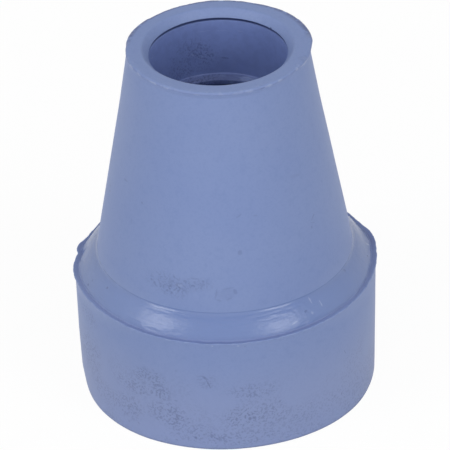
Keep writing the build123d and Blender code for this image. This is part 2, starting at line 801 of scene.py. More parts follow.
        # Noise on the smooth solid, so that the seam at the back closes
        x = add("ShaderNodeMath", {0: radius, 1: across}, operation="MULTIPLY")
        y = add("ShaderNodeMath", {0: radius, 1: depth}, operation="MULTIPLY")
        smooth = add("ShaderNodeCombineXYZ", {"X": x, "Y": y, "Z": height})
        wander = {}
        for shift, (name, size_input, detail) in enumerate(
            (("tear", "Tear Size", 3.0), ("lift", "Tear Size", 3.0), ("wave", "Wave Size", 1.0))
        ):
            feeds = {0: given["Seed"], 1: self.seed_step * shift}
            start = add("ShaderNodeMath", feeds, operation="ADD")
            scale = add("ShaderNodeMath", {0: 1.0, 1: given[size_input]}, operation="DIVIDE")
            feeds = {"Vector": smooth, "W": start, "Scale": scale, "Detail": detail}
            noise = add("ShaderNodeTexNoise", feeds, noise_dimensions="4D")
            feeds = {0: noise, 1: NOISE_MIDDLE}
            wander[name] = add("ShaderNodeMath", feeds, operation="SUBTRACT")

        # How far each point is pushed out
        reach = {t: self.reach_curve(tree, share, keys) for t, keys in reaches.items()}
        outward = add("ShaderNodeMath", {0: reach[Trait.FLASH], 1: 0.0}, operation="MAXIMUM")
        inward = add("ShaderNodeMath", {0: reach[Trait.FLASH], 1: 0.0}, operation="MINIMUM")
        feeds = {0: wander["tear"], 1: given["Flash Raggedness"], 2: outward}
        torn = add("ShaderNodeMath", feeds, operation="MULTIPLY_ADD")
        feeds = {0: wander["tear"], 1: given["Lip Raggedness"], 2: reach[Trait.LIP]}
        chewed = add("ShaderNodeMath", feeds, operation="MULTIPLY_ADD")
        full = self.wave_radius * MM
        feeds = {"Value": radius, "From Max": full, "To Max": given["Wave Height"]}
        wavy = add("ShaderNodeMapRange", feeds)
        pushed = radius
        for length, amount in (
            (torn, carried[Trait.FLASH]),
            (inward, carried[Trait.TRIM]),
            (chewed, carried[Trait.LIP]),
            (reach[Trait.SOLE], carried[Trait.SOLE]),
            (wander["wave"], wavy),
        ):
            feeds = {0: length, 1: amount, 2: pushed}
            pushed = add("ShaderNodeMath", feeds, operation="MULTIPLY_ADD")
        feeds = {0: carried[Trait.FLASH], 1: carried[Trait.LIP]}
        edge = add("ShaderNodeMath", feeds, operation="ADD")
        feeds = {0: edge, 1: given["Lip Raggedness"]}
        loose = add("ShaderNodeMath", feeds, operation="MULTIPLY")
        feeds = {0: wander["lift"], 1: loose, 2: height}
        lifted = add("ShaderNodeMath", feeds, operation="MULTIPLY_ADD")
        x = add("ShaderNodeMath", {0: pushed, 1: across}, operation="MULTIPLY")
        y = add("ShaderNodeMath", {0: pushed, 1: depth}, operation="MULTIPLY")
        place = add("ShaderNodeCombineXYZ", {"X": x, "Y": y, "Z": lifted})
        turned = add("GeometryNodeSetPosition", {"Geometry": grid, "Position": place})

        # The seam is darkest where much of the flash is left
        feeds = {
            "Value": outward,
            "From Min": self.thin_flash * MM,
            "From Max": self.thick_flash * MM,
            "To Min": self.thin_seam,
        }
        left = add("ShaderNodeMapRange", feeds)
        feeds = {0: carried[Trait.SEAM], 1: left}
        carried[Trait.SEAM] = add("ShaderNodeMath", feeds, operation="MULTIPLY")
        for trait in (Trait.SEAM, Trait.GLOSS, Trait.FRAY):
            feeds = {"Geometry": turned, "Name": trait.value, "Value": carried[trait]}
            turned = add("GeometryNodeStoreNamedAttribute", feeds)

        # Close the seam and the poles, and keep the crisp edges crisp
        feeds = {"Geometry": turned, "Distance": given["Weld Distance"]}
        welded = add("GeometryNodeMergeByDistance", feeds)
        angle = add("GeometryNodeInputMeshEdgeAngle").outputs["Unsigned Angle"]
        feeds = {"A": angle, "B": given["Crease Angle"]}
        crisp = add("FunctionNodeCompare", feeds, operation="GREATER_THAN")
        smoothed = add("GeometryNodeSetShadeSmooth", {"Geometry": welded, "Shade Smooth": True})
        feeds = {"Geometry": smoothed, "Selection": crisp, "Shade Smooth": False}
        creased = add("GeometryNodeSetShadeSmooth", feeds, domain="EDGE")
        real = add("GeometryNodeRealizeInstances", {"Geometry": creased})
        feeds = {"Geometry": real, "Material": given["Rubber"]}
        dressed = add("GeometryNodeSetMaterial", feeds)
        add("NodeGroupOutput", {"Turned": dressed})
        return tree

    def turn(
        self,
        section: bpy.types.Object,
        rubber: bpy.types.Material,
        reaches: dict[Trait, tuple[Reach, ...]],
    ) -> bpy.types.Mesh:
        """Turns a section object to a plain mesh.

        Args:
            section: object whose mesh is the section's chain.
            rubber: material for every face.
            reaches: reach of each uneven edge round the tip, by the trait that follows it.

        Returns:
            The turned mesh, with no modifier behind it.
        """
        modifier = section.modifiers.new("turning", "NODES")
        modifier.node_group = self.tree(rubber, reaches)
        values = self.inputs(rubber)
        for socket in modifier.node_group.interface.items_tree:
            if socket.in_out == "INPUT" and socket.name in values:
                modifier[socket.identifier] = values[socket.name][1]
        depsgraph = bpy.context.evaluated_depsgraph_get()
        mesh = bpy.data.meshes.new_from_object(
            section.evaluated_get(depsgraph), preserve_all_data_layers=True, depsgraph=depsgraph
        )
        section.modifiers.remove(modifier)
        return mesh


@dataclass(frozen=True)
class Scuff:
    """A worn or dirty stroke on the outside of the tip.

    Args:
        azimuth: where its middle is round the tip.
        height: how high its middle is.
        length: length along the stroke.
        width: width across the stroke.
        tilt: angle of the stroke above the level, in degrees.
        shade: how much darker it is than the rubber round it. Below 0 it is lighter; most such
        pale patches are painted light and painted highlights.
        grainy: whether it is a patch of fine specks.
    """

    azimuth: float
    height: float
    length: float
    width: float
    tilt: float = 0.0
    shade: float = 0.15
    grainy: bool = False


def scuffs(*rows: tuple[float, ...], grainy: bool = False) -> tuple[Scuff, ...]:
    """Gives a scuff for each row of azimuth, height, length, width, tilt and shade."""
    return tuple(Scuff(*row, grainy=grainy) for row in rows)


CONE_SCUFFS = (
    # Bruise low on the cone
    *scuffs(
        (-35.7, 24.3, 0.7, 0.35, 0, 0.1), (-34.2, 23.9, 1.0, 0.4, -50, 0.12),
        (-29.7, 23.9, 1.6, 0.8, 0, 0.08), (-26.8, 24.6, 0.5, 0.8, 0, 0.12),
        (-24.4, 25.6, 0.4, 0.7, 20, 0.12), (-24.0, 24.3, 1.5, 0.5, 5, 0.08),
        (-19.9, 24.1, 0.9, 0.35, 0, 0.12), (-14.3, 25.8, 1.4, 0.3, 0, 0.12),
        (-15.2, 24.7, 0.7, 0.5, -20, 0.13), (-10.5, 25.3, 0.4, 0.9, 0, 0.12),
        (-8.2, 25.2, 0.7, 0.4, 0, 0.08),
    ),
    *scuffs(
        (-28.0, 24.5, 8.0, 3.6, 0, 0.17), (-23.0, 23.5, 5.0, 2.6, 0, 0.12),
        (-13.0, 25.1, 5.2, 2.4, 0, 0.15),
        grainy=True,
    ),
    *scuffs(
        (-20.0, 24.6, 9.5, 2.2, 0, 0.04), (-28.1, 22.9, 1.0, 0.5, 0, 0.08),
        (-25.1, 23.2, 0.6, 0.4, 0, 0.08), (-21.5, 24.5, 1.5, 0.45, 0, -0.1),
    ),
    # Oval print of something round, beside the bruise
    *scuffs(
        (-4.7, 23.7, 1.7, 0.35, 80, 0.16), (-3.4, 22.8, 0.9, 0.35, -20, 0.14),
        (4.0, 24.0, 0.6, 1.0, 20, 0.18), (0.8, 24.5, 2.0, 0.3, 10, 0.12),
        (1.2, 23.0, 1.2, 0.3, 25, 0.12), (0.3, 23.7, 3.2, 2.0, 8, 0.07),
    ),
    # Nicks higher up
    *scuffs(
        (7.1, 29.6, 0.8, 0.9, 0, 0.2), (7.7, 34.9, 1.2, 0.3, 35, 0.13),
        (16.1, 34.6, 0.8, 0.3, 0, 0.12), (-45.7, 34.7, 0.4, 0.4, 0, 0.2),
        (-60.7, 36.3, 1.1, 0.35, 0, 0.18), (-51.9, 31.2, 0.3, 1.2, 0, 0.08),
        (-79.0, 32.8, 0.5, 0.4, 0, 0.25), (-77.7, 32.1, 0.5, 0.5, 0, 0.3),
        (49.3, 31.3, 1.5, 0.3, 40, 0.16), (48.5, 30.5, 0.9, 0.3, -20, 0.12),
        (47.3, 30.0, 0.5, 0.5, 0, 0.16), (42.0, 38.3, 2.4, 0.6, -10, 0.06),
    ),
)
SHOULDER_SCUFFS = (
    *scuffs(
        # The wide pale zones at both sides are painted light; the upright pale streak at 84.6
        # degrees is a painted highlight on the hollow by the cone, and the two pale dashes at the
        # front under the parting line are painted highlights on the foot's top edge; the rest are
        # nicks and specks
        (-64.0, 19.4, 27.0, 8.0, 0, -0.09), (62.0, 19.4, 24.0, 8.0, 0, -0.07),
        (-60.9, 20.0, 0.5, 0.25, 20, 0.3), (-71.9, 19.2, 0.5, 0.4, 0, 0.14),
        (-101.9, 20.2, 0.6, 0.5, 0, 0.3), (-72.7, 18.5, 0.6, 0.4, 0, 0.3),
        (86.0, 18.7, 0.5, 0.3, 0, 0.35), (64.7, 20.6, 0.5, 0.3, 0, 0.2),
        (34.3, 19.5, 0.6, 0.25, 0, 0.25), (36.5, 19.1, 0.5, 0.4, 0, -0.25),
        (95.6, 18.6, 0.5, 0.8, 0, -0.3), (38.3, 20.3, 0.25, 1.0, 0, -0.3),
        (42.2, 19.6, 0.25, 1.0, 0, -0.3), (27.7, 18.8, 1.3, 0.2, 10, -0.3),
        (84.6, 22.1, 0.4, 7.0, 0, -0.11), (-6.0, 17.7, 0.4, 0.25, 0, -0.3),
        (3.6, 17.6, 0.4, 0.25, 0, -0.3), (6.2, 17.4, 0.3, 0.3, 0, 0.2),
    ),
)
SOCKET_SCUFFS = (
    *scuffs(
        (-156.0, 46.0, 10.0, 8.0, 0, 0.16), (-160.5, 46.9, 4.0, 2.8, 0, 0.14),
        (-169.0, 45.4, 3.4, 2.4, 0, 0.14), (-146.0, 44.0, 5.0, 5.0, 0, 0.12),
        grainy=True,
    ),
    # Pale lines on the wall 2 mm under the mouth, at 49.4 to 49.6 mm, are painted highlights along
    # the recess's lower edge; the rest are dark marks and pale flecks in the rough patch
    *scuffs(
        (174.4, 45.1, 1.2, 0.3, 0, 0.3), (175.3, 49.5, 3.4, 0.15, 0, -0.1),
        (-168.0, 49.6, 2.4, 0.15, 0, -0.1), (160.8, 49.6, 1.2, 0.15, 0, -0.12),
        (-107.7, 49.4, 1.5, 0.2, 20, -0.12), (-158.0, 46.2, 0.7, 0.2, 30, -0.15),
        (-166.0, 45.6, 0.5, 0.2, -20, -0.15), (129.2, 51.6, 0.5, 0.3, 0, 0.5),
    ),
)
RIM_GLINTS_AND_NICKS = (
    # Pale dashes along the lip's trimmed edge are painted highlights; the dark ones are nicks
    *scuffs(
        (-70, 52.45, 1.8, 0.35, 0, -0.3), (-59, 52.45, 1.4, 0.3, 0, -0.25),
        (-45, 52.45, 1.8, 0.3, 0, -0.25), (-35, 52.45, 1.2, 0.25, 0, -0.15),
        (-14, 52.45, 1.3, 0.3, 0, -0.15), (0, 52.4, 1.2, 0.25, 0, 0.1),
        (19, 52.4, 1.2, 0.3, 0, -0.15), (27, 52.4, 1.0, 0.25, 0, 0.15),
        (32, 52.45, 1.4, 0.35, 0, -0.25), (41, 52.5, 1.0, 0.35, 0, -0.25),
        (58, 52.45, 0.8, 0.4, 0, -0.35), (67, 52.35, 2.6, 0.4, 0, -0.35),
        (78, 52.3, 1.6, 0.4, 0, -0.25), (70, 52.65, 2.4, 0.2, 0, 0.12),
    ),
)
FOOT_SCUFFS = (
    # Patches of pits and wrinkles, where the foot drags
    *scuffs(
        (-32.0, 10.8, 6.0, 3.4, 0, 0.24), (-27.0, 8.6, 4.0, 3.0, 0, 0.2),
        (-37.0, 8.0, 6.0, 2.6, 0, 0.14), (-43.0, 4.2, 7.0, 5.0, 0, 0.2),
        (-25.0, 5.2, 8.0, 4.6, 0, 0.24), (-14.0, 2.6, 9.0, 4.0, 0, 0.18),
        (-8.5, 11.6, 3.5, 3.0, 0, 0.14), (9.0, 9.8, 8.0, 3.0, 0, 0.15),
        (4.0, 5.6, 5.0, 4.6, 0, 0.2), (14.0, 5.4, 7.0, 4.0, 0, 0.13),
        (4.0, 2.0, 12.0, 3.0, 0, 0.12), (34.0, 4.8, 12.0, 5.0, 0, 0.06),
        (-66.0, 8.5, 7.0, 10.0, 0, 0.2), (-57.0, 4.0, 7.0, 5.0, 0, 0.18),
        (-67.0, 15.0, 7.0, 4.0, 0, 0.18),
        grainy=True,
    ),
    *scuffs(
        (-11.0, 12.5, 1.3, 0.25, 0, 0.16), (-8.0, 11.3, 1.9, 0.25, -65, 0.2),
        (-9.1, 12.2, 1.2, 0.5, -30, 0.2), (50.5, 10.7, 1.2, 0.25, -60, 0.16),
        (19.2, 7.3, 0.4, 0.4, 0, 0.22), (-20.9, 7.8, 0.6, 0.3, 0, 0.16),
        (-17.9, 5.9, 0.35, 0.5, 0, 0.16), (-15.9, 4.4, 0.35, 0.35, 0, 0.2),
        (-42.9, 1.6, 0.4, 0.4, 0, 0.2), (-38.0, 2.1, 0.35, 0.35, 0, 0.18),
        (-13.7, 1.9, 0.5, 0.5, 0, 0.28), (-21.4, 1.1, 0.45, 0.4, 0, 0.2),
        (-34.8, 9.5, 0.9, 0.25, 0, 0.14), (-34.9, 7.7, 0.35, 0.6, 0, 0.16),
        (-26.8, 10.0, 1.0, 0.5, 0, 0.12), (-20.3, 12.9, 0.5, 0.5, 0, 0.1),
    ),
)


@dataclass(frozen=True)
class MouldedRubber:
    """Filled natural rubber, press moulded in a steel mould and left as it came out.

    It gives the eye an even, slightly chalky grey-blue with a soft sheen. The shoulder, which
    slid out of a polished part of the mould, is darker and glossier, and the torn flash is dull.
    """

    name: str = "moulded_natural_rubber_grey_blue"
    body: str = "7D90C0"
    # Paler tone at random, and the painted highlight on the right of the grip rings
    bloom: str = "8395C2"
    # Painted light that makes the lower foot lighter and greyer
    painted_light_tint: str = "949FC4"
    polished: str = "697FB3"
    # Dark of the torn flash, and painted shade in the groove behind its fin
    torn: str = "6572A2"
    # Pale wear, and painted light and painted highlights
    pale: str = "B9C4DC"
    # Dirt, and painted shade deep in the socket, in the groove under its mouth and on its grip
    # rings
    grime_and_shade: str = "36426E"
    socket_wall: str = "6D80BB"
    # Dirt in the socket, and painted shade at the back of the rim's lip
    dirt_and_rim_shade: str = "56628F"
    ior: float = 1.47
    roughness: float = 0.52
    polished_roughness: float = 0.26
    bloom_size: float = 14.0
    patch_size: float = 7.0
    mottle_size: float = 1.1

    # The real grain of the mould's steel, the dirt's specks and the lines of the mould's polish
    # are under 0.1 mm. A pixel is 0.14 mm, so they are drawn three times as coarse or more, to show
    speck_size: float = 0.32
    grain_size: float = 0.35
    grain_height: float = 0.014
    streak_size: float = 0.3
    streak_stretch: float = 8.0
    turned_height: float = 0.045

    ripple_size: float = 1.0
    ripple_height: float = 0.045
    hollow_depth: float = 0.12
    pit_spacing: float = 1.1
    pit_size: float = 0.22
    pit_share: float = 0.3
    pit_hollow: float = 0.2
    pepper_hollow: float = 0.14
    smear: float = 0.25
    scuff_fade: float = 0.45

    def material(
        self, scuffs: list[tuple[Scuff, float]], bore_radius: float, mouth: float
    ) -> bpy.types.Material:
        """Builds the rubber's material.

        Args:
            scuffs: each scuff with the tip's radius where it lies.
            bore_radius: radius of the socket's wall.
            mouth: height at which the socket starts.

        Returns:
            The material.
        """
        material = bpy.data.materials.new(self.name)
        material.use_nodes = True
        tree = material.node_tree
        tree.nodes.clear()
        add = partial(add_node, tree)
        place = add("ShaderNodeTexCoord").outputs["Object"]
        parts = add("ShaderNodeSeparateXYZ", {"Vector": place}).outputs
        height = parts["Z"]
        level = add("ShaderNodeVectorMath", {0: place, 1: (1.0, 1.0, 0.0)}, operation="MULTIPLY")
        radius = add("ShaderNodeVectorMath", {0: level}, operation="LENGTH")
        seam, gloss, fray = [
            add("ShaderNodeAttribute", attribute_name=trait.value).outputs["Fac"]
            for trait in (Trait.SEAM, Trait.GLOSS, Trait.FRAY)
        ]

        # The streaks follow the turning: fine across the radius, and long round the axis
        feeds = {0: level, "Scale": 1 / self.streak_stretch}
        slow = add("ShaderNodeVectorMath", feeds, operation="SCALE")
        slow_parts = add("ShaderNodeSeparateXYZ", {"Vector": slow}).outputs
        feeds = {"X": slow_parts["X"], "Y": slow_parts["Y"], "Z": radius}
        turned = add("ShaderNodeCombineXYZ", feeds)
        noise = {}
        for name, way, size, detail in (
            ("bloom", place, self.bloom_size, 2.0),
            ("patch", place, self.patch_size, 1.0),
            ("ripple", place, self.ripple_size, 1.0),
            ("mottle", place, self.mottle_size, 4.0),
            ("speck", place, self.speck_size, 2.0),
            ("grain", place, self.grain_size, 3.0),
            ("streak", turned, self.streak_size, 1.0),
        ):
            feeds = {"Vector": way, "Scale": pattern_scale(size), "Detail": detail}
            noise[name] = add("ShaderNodeTexNoise", feeds)
        feeds = {"Vector": place, "Scale": pattern_scale(self.pit_spacing)}
        cells = add("ShaderNodeTexVoronoi", feeds).outputs
        pick = add("ShaderNodeSeparateColor", {"Color": cells["Color"]}).outputs["Red"]
        pit_reach = self.pit_size / self.pit_spacing

        # Soft steps from 0 to 1, each on what it reads, where it starts and where it ends
        step = {}
        for name, value, start, end in (
            ("bloom", noise["bloom"], 0.35, 0.7),
            ("mottle", noise["mottle"], 0.5, 0.75),
            ("dirt", noise["mottle"], 0.4, 0.62),
            ("ragged", noise["mottle"], 0.35, 0.5),
            ("dashes", noise["mottle"], 0.5, 0.6),
            ("flecks", noise["grain"], 0.48, 0.66),
            ("specks", noise["speck"], 0.5, 0.6),
            ("right", parts["X"], -2.0 * MM, 5.0 * MM),
            ("left", parts["X"], 3.0 * MM, -3.0 * MM),
            ("sole_edge", height, 0.55 * MM, 0.1 * MM),
            ("streaks", noise["streak"], 0.52, 0.64),
            ("patchy", noise["patch"], 0.4, 0.6),
            ("bored", radius, (bore_radius + 0.85) * MM, (bore_radius + 0.75) * MM),
            ("sunk", height, (mouth + 0.02) * MM, (mouth - 0.1) * MM),
            # Masks for painted shade in the socket: deeper down, in the groove under the mouth, and
            # on the grip rings and floor
            ("deep", height, (mouth - 1.5) * MM, (mouth - 9.0) * MM),
            ("under", radius, (bore_radius + 0.1) * MM, (bore_radius + 0.35) * MM),
            ("ledge", radius, (bore_radius - 0.05) * MM, (bore_radius - 0.25) * MM),
            ("rim", height, (mouth + 0.5) * MM, (mouth + 0.7) * MM),
            # The half of the tip at +Y, where the rim's lip gets painted shade
            ("back", parts["Y"], 0.0, 4.0 * MM),
            ("low", height, 14.0 * MM, 8.0 * MM),
            # Painted light: the foot grows lighter towards the sole
            ("dusty", height, 17.5 * MM, 5.0 * MM),
            ("pit", cells["Distance"], pit_reach, pit_reach * 0.4),
            ("chosen", pick, self.pit_share + 0.01, self.pit_share),
            ("rippled", gloss, 1.3, 1.0),
        ):
            feeds = {"Value": value, "From Min": start, "From Max": end}
            step[name] = add("ShaderNodeMapRange", feeds, interpolation_type="SMOOTHSTEP")

        # Where several of them meet
        for name, one, other in (
            ("inside", step["bored"], step["sunk"]),
            ("stained", "inside", step["dirt"]),
            # Painted shade: deeper in the socket, in the groove under its mouth and on its grip
            # rings
            ("shaded", "inside", step["deep"]),
            ("groove", "inside", step["under"]),
            ("ring", "inside", step["ledge"]),
            ("ring_right", "ring", step["right"]),
            ("ring_left", "ring", step["left"]),
            # Painted highlight: pale streaks on the right of the grip rings
            ("ring_streaks", "ring_right", step["streaks"]),
            ("ring_specks", "ring_left", step["specks"]),
            ("torn_rim", fray, step["rim"]),
            ("torn_rim", "torn_rim", step["ragged"]),
            # Painted shade at the back of the rim's frayed lip
            ("dark_rim", "torn_rim", step["back"]),
            # Painted highlights: pale dashes along the frayed edges
            ("pale_edge", fray, step["dashes"]),
            ("polish", gloss, step["rippled"]),
            ("trodden", step["low"], step["patchy"]),
            ("pitted", step["pit"], step["chosen"]),
            ("pits", "pitted", "trodden"),
            ("peppered", step["specks"], "trodden"),
        ):
            one, other = [step[part] if isinstance(part, str) else part for part in (one, other)]
            step[name] = add("ShaderNodeMath", {0: one, 1: other}, operation="MULTIPLY")

        # Placed scuffs, on coordinates that a fine noise smears. The dark ones are dirt and wear;
        # the pale ones are partly wear and mostly painted light and painted highlights
        feeds = {"Vector": place, "Scale": pattern_scale(self.speck_size), "Detail": 2.0}
        warp = add("ShaderNodeTexNoise", feeds).outputs["Color"]
        feeds = {0: warp, 1: (NOISE_MIDDLE,) * 3}
        shift = add("ShaderNodeVectorMath", feeds, operation="SUBTRACT")
        feeds = {0: shift, 1: (self.smear * MM,) * 3, 2: place}
        smeared = add("ShaderNodeVectorMath", feeds, operation="MULTIPLY_ADD")
        wear, rubs_and_painted_light = 0.0, 0.0
        for scuff, wall_radius in scuffs:
            turn = math.radians(scuff.azimuth)
            across, forth = wall_radius * math.sin(turn), -wall_radius * math.cos(turn)
            tilt = Matrix.Rotation(-math.radians(scuff.tilt), 3, "Y")
            depth = max(1.0, scuff.length / 2)
            feeds = {
                "Vector": smeared,
                "Location": Vector((across, forth, scuff.height)) * MM,
                "Rotation": (Matrix.Rotation(turn, 3, "Z") @ tilt).to_euler(),
                "Scale": Vector((scuff.length / 2, depth, scuff.width / 2)) * MM,
            }
            spot = add("ShaderNodeMapping", feeds, vector_type="TEXTURE")
            ball = add("ShaderNodeTexGradient", {"Vector": spot}, gradient_type="SPHERICAL")
            feeds = {"Value": ball.outputs["Fac"], "From Max": self.scuff_fade}
            mask = add("ShaderNodeMapRange", feeds)
            if scuff.grainy:
                mask = add("ShaderNodeMath", {0: mask, 1: step["specks"]}, operation="MULTIPLY")
            if scuff.shade > 0:
                feeds = {0: mask, 1: scuff.shade, 2: wear}
                wear = add("ShaderNodeMath", feeds, operation="MULTIPLY_ADD")
            else:
                feeds = {0: mask, 1: -scuff.shade, 2: rubs_and_painted_light}
                rubs_and_painted_light = add("ShaderNodeMath", feeds, operation="MULTIPLY_ADD")

        # Layers of colour, from the moulded body up to the dirt, with painted light and painted
        # shade among them
        colour = linear(self.body)
        for mask, strength, over in (
            (step["bloom"], 0.5, self.bloom),
            (step["mottle"], 0.15, self.polished),
            (step["flecks"], 0.14, self.polished),
            # Painted light: the foot lighter and greyer towards the sole
            (step["dusty"], 0.45, self.painted_light_tint),
            (gloss, 1.0, self.polished),
            (step["inside"], 0.8, self.socket_wall),
            (step["stained"], 0.15, self.dirt_and_rim_shade),
            # Painted shade: darker deeper in the socket, in the groove under its mouth and on its
            # grip rings and floor
            (step["shaded"], 0.25, self.grime_and_shade),
            (step["groove"], 0.7, self.grime_and_shade),
            (step["ring"], 0.45, self.grime_and_shade),
            (step["ring_specks"], 0.7, self.grime_and_shade),
            # Painted highlight on the right of the grip rings
            (step["ring_streaks"], 0.5, self.bloom),
            (step["sole_edge"], 0.3, self.grime_and_shade),
            # Torn flash, and painted shade in the groove behind its fin
            (seam, 1.0, self.torn),
            # Painted shade at the back of the rim's lip
            (step["dark_rim"], 0.9, self.dirt_and_rim_shade),
            # Painted highlights along the frayed edges
            (step["pale_edge"], 0.12, self.pale),
            # Pale scuffs: partly wear, mostly painted light and painted highlights
            (rubs_and_painted_light, 1.0, self.pale),
            (step["pits"], 0.2, self.grime_and_shade),
            (step["peppered"], 0.14, self.grime_and_shade),
            (wear, 1.0, self.grime_and_shade),
        ):
            part = add("ShaderNodeMath", {0: mask, 1: strength}, operation="MULTIPLY")
            feeds = {"Factor": part, "A": colour, "B": linear(over)}
            colour = add("ShaderNodeMix", feeds, data_type="RGBA")

        # Relief: grain of the mould's steel, ripples of its polish, and hollows of the wear. The
        # ripples are centred on nothing, so that no step shows where the polish ends
        relief = 0.0
        swells = []
        for name in ("ripple", "streak"):
            feeds = {0: noise[name], 1: NOISE_MIDDLE}
            centred = add("ShaderNodeMath", feeds, operation="SUBTRACT")
            feeds = {0: centred, 1: step["polish"]}
            swells.append(add("ShaderNodeMath", feeds, operation="MULTIPLY"))
        ripples, lines = swells
        for shape, size in (
            (noise["grain"], self.grain_height),
            (ripples, self.ripple_height),
            (lines, self.turned_height),
            (wear, -self.hollow_depth),
            (step["pits"], -self.pit_hollow * self.hollow_depth),
            (step["peppered"], -self.pepper_hollow * self.hollow_depth),
        ):
            feeds = {0: shape, 1: size * MM, 2: relief}
            relief = add("ShaderNodeMath", feeds, operation="MULTIPLY_ADD")
        bump = add("ShaderNodeBump", {"Strength": 1.0, "Distance": 1.0, "Height": relief})
        feeds = {"Factor": gloss, "A": self.roughness, "B": self.polished_roughness}
        rough = add("ShaderNodeMix", feeds, clamp_factor=False)
        feeds = {"Base Color": colour, "Roughness": rough, "Normal": bump, "IOR": self.ior}
        rubber = add("ShaderNodeBsdfPrincipled", feeds)
        add("ShaderNodeOutputMaterial", {"Surface": rubber})
        return material


@dataclass(frozen=True)
class CaneTip:
    """The whole tip, one piece of moulded rubber.

    Args:
        foot: wide part that stands on the floor.
        shoulder: slope between the foot and the cone.
        cone: wall between the shoulder and the rim.
        rim: top of the cone.
        socket: hole for the shaft.
        tread: grooved sole.
        turning: how the section is turned.
        finish: the rubber.
    """

    foot: Foot
    shoulder: Shoulder
    cone: Cone
    rim: Rim
    socket: Socket
    tread: Tread
    turning: Turning = field(default_factory=Turning)
    finish: MouldedRubber = field(default_factory=MouldedRubber)

    @classmethod
    def from_frame(cls, frame: dict) -> "CaneTip":
        """Sizes the tip by its CAD frame.


        Returns:
            The tip, as high and as wide as its CAD node, around the record's socket.
        """
        low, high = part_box(CAD_NODE)
        foot = Foot(radius=(high.x - low.x) / 2 / MM - CAD_FLASH_REACH)
        mounts = {mount["name"]: mount for mount in frame["record"]["mounts"]}
        bore_radius = mounts[SOCKET_MOUNT]["dims"]["r_mm"]
        height = high.z / MM
        rim_radius = bore_radius + RIM_WALL
        shoulder = Shoulder(foot.radius, foot.height)
        cone = Cone(shoulder.top_radius, shoulder.top_height, rim_radius, height)
        rim = Rim(rim_radius, height, bore_radius, cone.lean, cone.neck)
        socket = Socket(bore_radius, rim.mouth_height, height)
        return cls(foot, shoulder, cone, rim, socket, Tread(foot.sole_radius))

    def outer_radius(self, height: float) -> float:
        """Finds the outside of the foot, the shoulder or the cone.

        Args:
            height: height above the sole.

        Returns:
            The tip's radius there.
        """
        if height <= self.foot.height:
            return self.foot.wall_radius(height)
        if height >= self.shoulder.top_height:
            return self.cone.radius_at(height)
        share = (height - self.foot.height) / self.shoulder.rise
        return self.foot.radius - share * self.shoulder.setback

    def section(self) -> bpy.types.Object:
        """Makes the section's chain, with what its points carry as attributes.

        Returns:
            The chain's object.
        """
        corners = self.tread.corners() + self.foot.corners() + self.shoulder.corners()
        corners += self.cone.corners() + self.rim.corners() + self.socket.corners()
        points = Outline(corners).points()
        mesh = bpy.data.meshes.new("tip_section")
        places = [(p.radius * MM, 0.0, p.height * MM) for p in points]
        mesh.from_pydata(places, [(i, i + 1) for i in range(len(points) - 1)], [])
        for trait in Trait:
            layer = mesh.attributes.new(trait.value, "FLOAT", "POINT")
            layer.data.foreach_set("value", [getattr(p, trait.value) for p in points])
        section = bpy.data.objects.new("tip_section", mesh)
        bpy.context.scene.collection.objects.link(section)
        return section

    def build(self) -> bpy.types.Object:
        """Builds the dressed tip and gives it to the frame in place of its CAD node.

        Returns:
            The tip's object.
        """
        outside = CONE_SCUFFS + SHOULDER_SCUFFS + FOOT_SCUFFS + RIM_GLINTS_AND_NICKS
        scuffs = [(s, self.outer_radius(s.height)) for s in outside]
        scuffs += [(s, self.socket.radius) for s in SOCKET_SCUFFS]
        rubber = self.finish.material(scuffs, self.socket.radius, self.rim.mouth_height)
        section = self.section()
        reaches = {
            Trait.FLASH: self.foot.flash_keys,
            Trait.SOLE: self.foot.sole_keys,
            Trait.LIP: self.rim.lip_keys,
        }
        mesh = self.turning.turn(section, rubber, reaches)
        bpy.data.objects.remove(section)
        tip = bpy.data.objects.new("moulded_tip", mesh)
        bpy.context.scene.collection.objects.link(tip)
        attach(tip, BODY)
        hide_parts(CAD_NODE)
        return tip


@dataclass(frozen=True)
class SoftBox:
    """A soft lamp that faces the tip.

    Args:
        name: what it is.
        azimuth: direction it stands in, round the tip.
        elevation: how high it stands, in degrees.
        spread: half of the angle that it fills, in degrees.
        brightness: how bright its face is, where 1 is a white wall in full light.
        distance: how far from the tip it stands.
    """

    name: str
    azimuth: float
    elevation: float
    spread: float
    brightness: float
    distance: float = 1200.0

    def build(self, target: Vector) -> bpy.types.Object:
        """Builds the lamp.

        Args:
            target: what it faces, in metres.

        Returns:
            The lamp's object.
        """
        turn, lift = math.radians(self.azimuth), math.radians(self.elevation)
        level = math.cos(lift)
        outward = Vector((math.sin(turn) * level, -math.cos(turn) * level, math.sin(lift)))
        lamp = bpy.data.lights.new(self.name, "AREA")
        lamp.shape = "SQUARE"
        lamp.size = 2 * self.distance * MM * math.tan(math.radians(self.spread))
        lamp.energy = self.brightness * math.pi * lamp.size**2
        box = bpy.data.objects.new(self.name, lamp)
        box.location = target + outward * self.distance * MM
        box.rotation_euler = outward.to_track_quat("Z", "Y").to_euler()
        bpy.context.scene.collection.objects.link(box)
        return box


